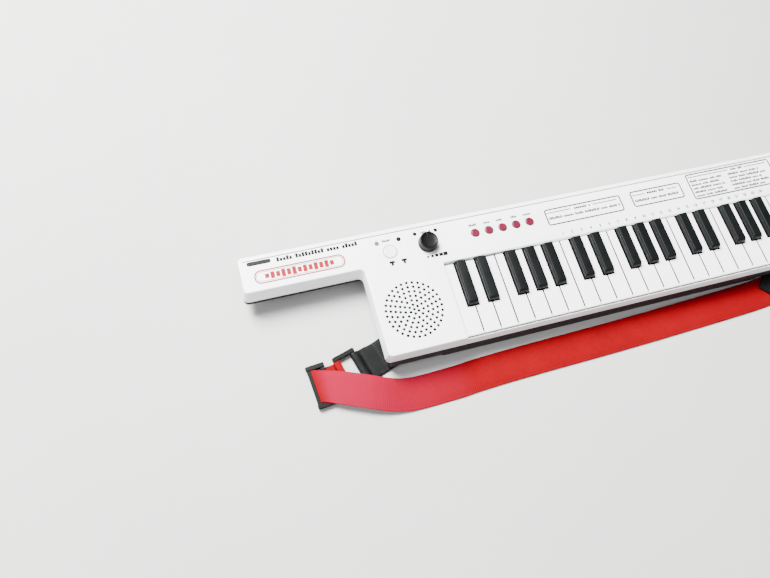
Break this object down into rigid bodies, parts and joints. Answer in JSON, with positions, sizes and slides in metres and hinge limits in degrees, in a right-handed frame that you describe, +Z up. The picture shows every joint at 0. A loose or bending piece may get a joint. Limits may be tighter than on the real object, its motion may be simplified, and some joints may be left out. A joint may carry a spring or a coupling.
{
  "type": "keytar",
  "caption": "Small shoulder keyboard with a short neck, mini keys over a sloping front lip, a round speaker grille, a turning knob, push buttons and a webbing strap; battery door underneath.",
  "frame": {"origin": "middle of the housing's flat underside, which it rests on", "axes": "+X along the keys towards the treble end, +Y away from the player's key fronts towards the neck edge, +Z up out of the keys"},
  "size_m": [0.6102, 0.1761, 0.043],
  "materials": {
    "white_plastic": "satin moulded",
    "dark_plastic": "fine textured",
    "black_plastic": "satin",
    "key_white": "polished",
    "key_black": "satin",
    "red_plastic": "satin",
    "webbing": "woven, cross-ribbed",
    "tab_leatherette": "grained",
    "board": "solder-masked",
    "contact_rubber": "matte",
    "speaker_metal": "dark, coated",
    "pot_metal": "plated"
  },
  "bodies": {
    "housing": {"top_shell": "white_plastic", "bottom_shell": "dark_plastic", "battery_cover": "dark_plastic", "speaker": "speaker_metal", "volume_pot": "pot_metal", "power_switch": "black_plastic", "main_board": "board", "contact_board": "board", "contact_strip": "contact_rubber", "key_chassis": "dark_plastic", "strap_webbing": "webbing", "strap_slider": "black_plastic", "strap_ring": "black_plastic", "strap_tab_left": "tab_leatherette", "strap_tab_right": "tab_leatherette"},
    "function_button_1": {"function_button_1": "red_plastic"},
    "function_button_2": {"function_button_2": "red_plastic"},
    "function_button_3": {"function_button_3": "red_plastic"},
    "function_button_4": {"function_button_4": "red_plastic"},
    "function_button_5": {"function_button_5": "red_plastic"},
    "power_button": {"power_button": "white_plastic"},
    "volume_knob": {"volume_knob": "black_plastic"},
    "white_key_01": {"white_key_01": "key_white"},
    "black_key_01": {"black_key_01": "key_black"},
    "white_key_02": {"white_key_02": "key_white"},
    "black_key_02": {"black_key_02": "key_black"},
    "white_key_03": {"white_key_03": "key_white"},
    "white_key_04": {"white_key_04": "key_white"},
    "black_key_03": {"black_key_03": "key_black"},
    "white_key_05": {"white_key_05": "key_white"},
    "black_key_04": {"black_key_04": "key_black"},
    "white_key_06": {"white_key_06": "key_white"},
    "black_key_05": {"black_key_05": "key_black"},
    "white_key_07": {"white_key_07": "key_white"},
    "white_key_08": {"white_key_08": "key_white"},
    "black_key_06": {"black_key_06": "key_black"},
    "white_key_09": {"white_key_09": "key_white"},
    "black_key_07": {"black_key_07": "key_black"},
    "white_key_10": {"white_key_10": "key_white"},
    "white_key_11": {"white_key_11": "key_white"},
    "black_key_08": {"black_key_08": "key_black"},
    "white_key_12": {"white_key_12": "key_white"},
    "black_key_09": {"black_key_09": "key_black"},
    "white_key_13": {"white_key_13": "key_white"},
    "black_key_10": {"black_key_10": "key_black"},
    "white_key_14": {"white_key_14": "key_white"},
    "white_key_15": {"white_key_15": "key_white"},
    "black_key_11": {"black_key_11": "key_black"},
    "white_key_16": {"white_key_16": "key_white"},
    "black_key_12": {"black_key_12": "key_black"},
    "white_key_17": {"white_key_17": "key_white"},
    "white_key_18": {"white_key_18": "key_white"},
    "black_key_13": {"black_key_13": "key_black"},
    "white_key_19": {"white_key_19": "key_white"},
    "black_key_14": {"black_key_14": "key_black"},
    "white_key_20": {"white_key_20": "key_white"},
    "black_key_15": {"black_key_15": "key_black"},
    "white_key_21": {"white_key_21": "key_white"},
    "white_key_22": {"white_key_22": "key_white"}
  },
  "joints": [
    {"name": "function_button_1_press", "type": "slide", "parent": "housing", "child": "function_button_1", "axis": [0, 0, -1], "range_m": [0, 0.0015], "stiffness_N_per_m": 400, "springref_m": -0.0015},
    {"name": "function_button_2_press", "type": "slide", "parent": "housing", "child": "function_button_2", "axis": [0, 0, -1], "range_m": [0, 0.0015], "stiffness_N_per_m": 400, "springref_m": -0.0015},
    {"name": "function_button_3_press", "type": "slide", "parent": "housing", "child": "function_button_3", "axis": [0, 0, -1], "range_m": [0, 0.0015], "stiffness_N_per_m": 400, "springref_m": -0.0015},
    {"name": "function_button_4_press", "type": "slide", "parent": "housing", "child": "function_button_4", "axis": [0, 0, -1], "range_m": [0, 0.0015], "stiffness_N_per_m": 400, "springref_m": -0.0015},
    {"name": "function_button_5_press", "type": "slide", "parent": "housing", "child": "function_button_5", "axis": [0, 0, -1], "range_m": [0, 0.0015], "stiffness_N_per_m": 400, "springref_m": -0.0015},
    {"name": "power_button_press", "type": "slide", "parent": "housing", "child": "power_button", "axis": [0, 0, -1], "range_m": [0, 0.002], "stiffness_N_per_m": 400, "springref_m": -0.0015},
    {"name": "volume_knob_turn", "type": "hinge", "parent": "housing", "child": "volume_knob", "pos_m": [-0.1775, 0.0393, 0.038], "axis": [0, 0, 1], "range_deg": [-150, 150]},
    {"name": "white_key_01_press", "type": "hinge", "parent": "housing", "child": "white_key_01", "pos_m": [0, 0.029, 0.025], "axis": [1, 0, 0], "range_deg": [0, 2.4], "stiffness_Nm_per_rad": 0.5, "springref_deg": -2.86},
    {"name": "black_key_01_press", "type": "hinge", "parent": "housing", "child": "black_key_01", "pos_m": [0, 0.029, 0.025], "axis": [1, 0, 0], "range_deg": [0, 2.4], "stiffness_Nm_per_rad": 0.5, "springref_deg": -2.86},
    {"name": "white_key_02_press", "type": "hinge", "parent": "housing", "child": "white_key_02", "pos_m": [0, 0.029, 0.025], "axis": [1, 0, 0], "range_deg": [0, 2.4], "stiffness_Nm_per_rad": 0.5, "springref_deg": -2.86},
    {"name": "black_key_02_press", "type": "hinge", "parent": "housing", "child": "black_key_02", "pos_m": [0, 0.029, 0.025], "axis": [1, 0, 0], "range_deg": [0, 2.4], "stiffness_Nm_per_rad": 0.5, "springref_deg": -2.86},
    {"name": "white_key_03_press", "type": "hinge", "parent": "housing", "child": "white_key_03", "pos_m": [0, 0.029, 0.025], "axis": [1, 0, 0], "range_deg": [0, 2.4], "stiffness_Nm_per_rad": 0.5, "springref_deg": -2.86},
    {"name": "white_key_04_press", "type": "hinge", "parent": "housing", "child": "white_key_04", "pos_m": [0, 0.029, 0.025], "axis": [1, 0, 0], "range_deg": [0, 2.4], "stiffness_Nm_per_rad": 0.5, "springref_deg": -2.86},
    {"name": "black_key_03_press", "type": "hinge", "parent": "housing", "child": "black_key_03", "pos_m": [0, 0.029, 0.025], "axis": [1, 0, 0], "range_deg": [0, 2.4], "stiffness_Nm_per_rad": 0.5, "springref_deg": -2.86},
    {"name": "white_key_05_press", "type": "hinge", "parent": "housing", "child": "white_key_05", "pos_m": [0, 0.029, 0.025], "axis": [1, 0, 0], "range_deg": [0, 2.4], "stiffness_Nm_per_rad": 0.5, "springref_deg": -2.86},
    {"name": "black_key_04_press", "type": "hinge", "parent": "housing", "child": "black_key_04", "pos_m": [0, 0.029, 0.025], "axis": [1, 0, 0], "range_deg": [0, 2.4], "stiffness_Nm_per_rad": 0.5, "springref_deg": -2.86},
    {"name": "white_key_06_press", "type": "hinge", "parent": "housing", "child": "white_key_06", "pos_m": [0, 0.029, 0.025], "axis": [1, 0, 0], "range_deg": [0, 2.4], "stiffness_Nm_per_rad": 0.5, "springref_deg": -2.86},
    {"name": "black_key_05_press", "type": "hinge", "parent": "housing", "child": "black_key_05", "pos_m": [0, 0.029, 0.025], "axis": [1, 0, 0], "range_deg": [0, 2.4], "stiffness_Nm_per_rad": 0.5, "springref_deg": -2.86},
    {"name": "white_key_07_press", "type": "hinge", "parent": "housing", "child": "white_key_07", "pos_m": [0, 0.029, 0.025], "axis": [1, 0, 0], "range_deg": [0, 2.4], "stiffness_Nm_per_rad": 0.5, "springref_deg": -2.86},
    {"name": "white_key_08_press", "type": "hinge", "parent": "housing", "child": "white_key_08", "pos_m": [0, 0.029, 0.025], "axis": [1, 0, 0], "range_deg": [0, 2.4], "stiffness_Nm_per_rad": 0.5, "springref_deg": -2.86},
    {"name": "black_key_06_press", "type": "hinge", "parent": "housing", "child": "black_key_06", "pos_m": [0, 0.029, 0.025], "axis": [1, 0, 0], "range_deg": [0, 2.4], "stiffness_Nm_per_rad": 0.5, "springref_deg": -2.86},
    {"name": "white_key_09_press", "type": "hinge", "parent": "housing", "child": "white_key_09", "pos_m": [0, 0.029, 0.025], "axis": [1, 0, 0], "range_deg": [0, 2.4], "stiffness_Nm_per_rad": 0.5, "springref_deg": -2.86},
    {"name": "black_key_07_press", "type": "hinge", "parent": "housing", "child": "black_key_07", "pos_m": [0, 0.029, 0.025], "axis": [1, 0, 0], "range_deg": [0, 2.4], "stiffness_Nm_per_rad": 0.5, "springref_deg": -2.86},
    {"name": "white_key_10_press", "type": "hinge", "parent": "housing", "child": "white_key_10", "pos_m": [0, 0.029, 0.025], "axis": [1, 0, 0], "range_deg": [0, 2.4], "stiffness_Nm_per_rad": 0.5, "springref_deg": -2.86},
    {"name": "white_key_11_press", "type": "hinge", "parent": "housing", "child": "white_key_11", "pos_m": [0, 0.029, 0.025], "axis": [1, 0, 0], "range_deg": [0, 2.4], "stiffness_Nm_per_rad": 0.5, "springref_deg": -2.86},
    {"name": "black_key_08_press", "type": "hinge", "parent": "housing", "child": "black_key_08", "pos_m": [0, 0.029, 0.025], "axis": [1, 0, 0], "range_deg": [0, 2.4], "stiffness_Nm_per_rad": 0.5, "springref_deg": -2.86},
    {"name": "white_key_12_press", "type": "hinge", "parent": "housing", "child": "white_key_12", "pos_m": [0, 0.029, 0.025], "axis": [1, 0, 0], "range_deg": [0, 2.4], "stiffness_Nm_per_rad": 0.5, "springref_deg": -2.86},
    {"name": "black_key_09_press", "type": "hinge", "parent": "housing", "child": "black_key_09", "pos_m": [0, 0.029, 0.025], "axis": [1, 0, 0], "range_deg": [0, 2.4], "stiffness_Nm_per_rad": 0.5, "springref_deg": -2.86},
    {"name": "white_key_13_press", "type": "hinge", "parent": "housing", "child": "white_key_13", "pos_m": [0, 0.029, 0.025], "axis": [1, 0, 0], "range_deg": [0, 2.4], "stiffness_Nm_per_rad": 0.5, "springref_deg": -2.86},
    {"name": "black_key_10_press", "type": "hinge", "parent": "housing", "child": "black_key_10", "pos_m": [0, 0.029, 0.025], "axis": [1, 0, 0], "range_deg": [0, 2.4], "stiffness_Nm_per_rad": 0.5, "springref_deg": -2.86},
    {"name": "white_key_14_press", "type": "hinge", "parent": "housing", "child": "white_key_14", "pos_m": [0, 0.029, 0.025], "axis": [1, 0, 0], "range_deg": [0, 2.4], "stiffness_Nm_per_rad": 0.5, "springref_deg": -2.86},
    {"name": "white_key_15_press", "type": "hinge", "parent": "housing", "child": "white_key_15", "pos_m": [0, 0.029, 0.025], "axis": [1, 0, 0], "range_deg": [0, 2.4], "stiffness_Nm_per_rad": 0.5, "springref_deg": -2.86},
    {"name": "black_key_11_press", "type": "hinge", "parent": "housing", "child": "black_key_11", "pos_m": [0, 0.029, 0.025], "axis": [1, 0, 0], "range_deg": [0, 2.4], "stiffness_Nm_per_rad": 0.5, "springref_deg": -2.86},
    {"name": "white_key_16_press", "type": "hinge", "parent": "housing", "child": "white_key_16", "pos_m": [0, 0.029, 0.025], "axis": [1, 0, 0], "range_deg": [0, 2.4], "stiffness_Nm_per_rad": 0.5, "springref_deg": -2.86},
    {"name": "black_key_12_press", "type": "hinge", "parent": "housing", "child": "black_key_12", "pos_m": [0, 0.029, 0.025], "axis": [1, 0, 0], "range_deg": [0, 2.4], "stiffness_Nm_per_rad": 0.5, "springref_deg": -2.86},
    {"name": "white_key_17_press", "type": "hinge", "parent": "housing", "child": "white_key_17", "pos_m": [0, 0.029, 0.025], "axis": [1, 0, 0], "range_deg": [0, 2.4], "stiffness_Nm_per_rad": 0.5, "springref_deg": -2.86},
    {"name": "white_key_18_press", "type": "hinge", "parent": "housing", "child": "white_key_18", "pos_m": [0, 0.029, 0.025], "axis": [1, 0, 0], "range_deg": [0, 2.4], "stiffness_Nm_per_rad": 0.5, "springref_deg": -2.86},
    {"name": "black_key_13_press", "type": "hinge", "parent": "housing", "child": "black_key_13", "pos_m": [0, 0.029, 0.025], "axis": [1, 0, 0], "range_deg": [0, 2.4], "stiffness_Nm_per_rad": 0.5, "springref_deg": -2.86},
    {"name": "white_key_19_press", "type": "hinge", "parent": "housing", "child": "white_key_19", "pos_m": [0, 0.029, 0.025], "axis": [1, 0, 0], "range_deg": [0, 2.4], "stiffness_Nm_per_rad": 0.5, "springref_deg": -2.86},
    {"name": "black_key_14_press", "type": "hinge", "parent": "housing", "child": "black_key_14", "pos_m": [0, 0.029, 0.025], "axis": [1, 0, 0], "range_deg": [0, 2.4], "stiffness_Nm_per_rad": 0.5, "springref_deg": -2.86},
    {"name": "white_key_20_press", "type": "hinge", "parent": "housing", "child": "white_key_20", "pos_m": [0, 0.029, 0.025], "axis": [1, 0, 0], "range_deg": [0, 2.4], "stiffness_Nm_per_rad": 0.5, "springref_deg": -2.86},
    {"name": "black_key_15_press", "type": "hinge", "parent": "housing", "child": "black_key_15", "pos_m": [0, 0.029, 0.025], "axis": [1, 0, 0], "range_deg": [0, 2.4], "stiffness_Nm_per_rad": 0.5, "springref_deg": -2.86},
    {"name": "white_key_21_press", "type": "hinge", "parent": "housing", "child": "white_key_21", "pos_m": [0, 0.029, 0.025], "axis": [1, 0, 0], "range_deg": [0, 2.4], "stiffness_Nm_per_rad": 0.5, "springref_deg": -2.86},
    {"name": "white_key_22_press", "type": "hinge", "parent": "housing", "child": "white_key_22", "pos_m": [0, 0.029, 0.025], "axis": [1, 0, 0], "range_deg": [0, 2.4], "stiffness_Nm_per_rad": 0.5, "springref_deg": -2.86}
  ]
}
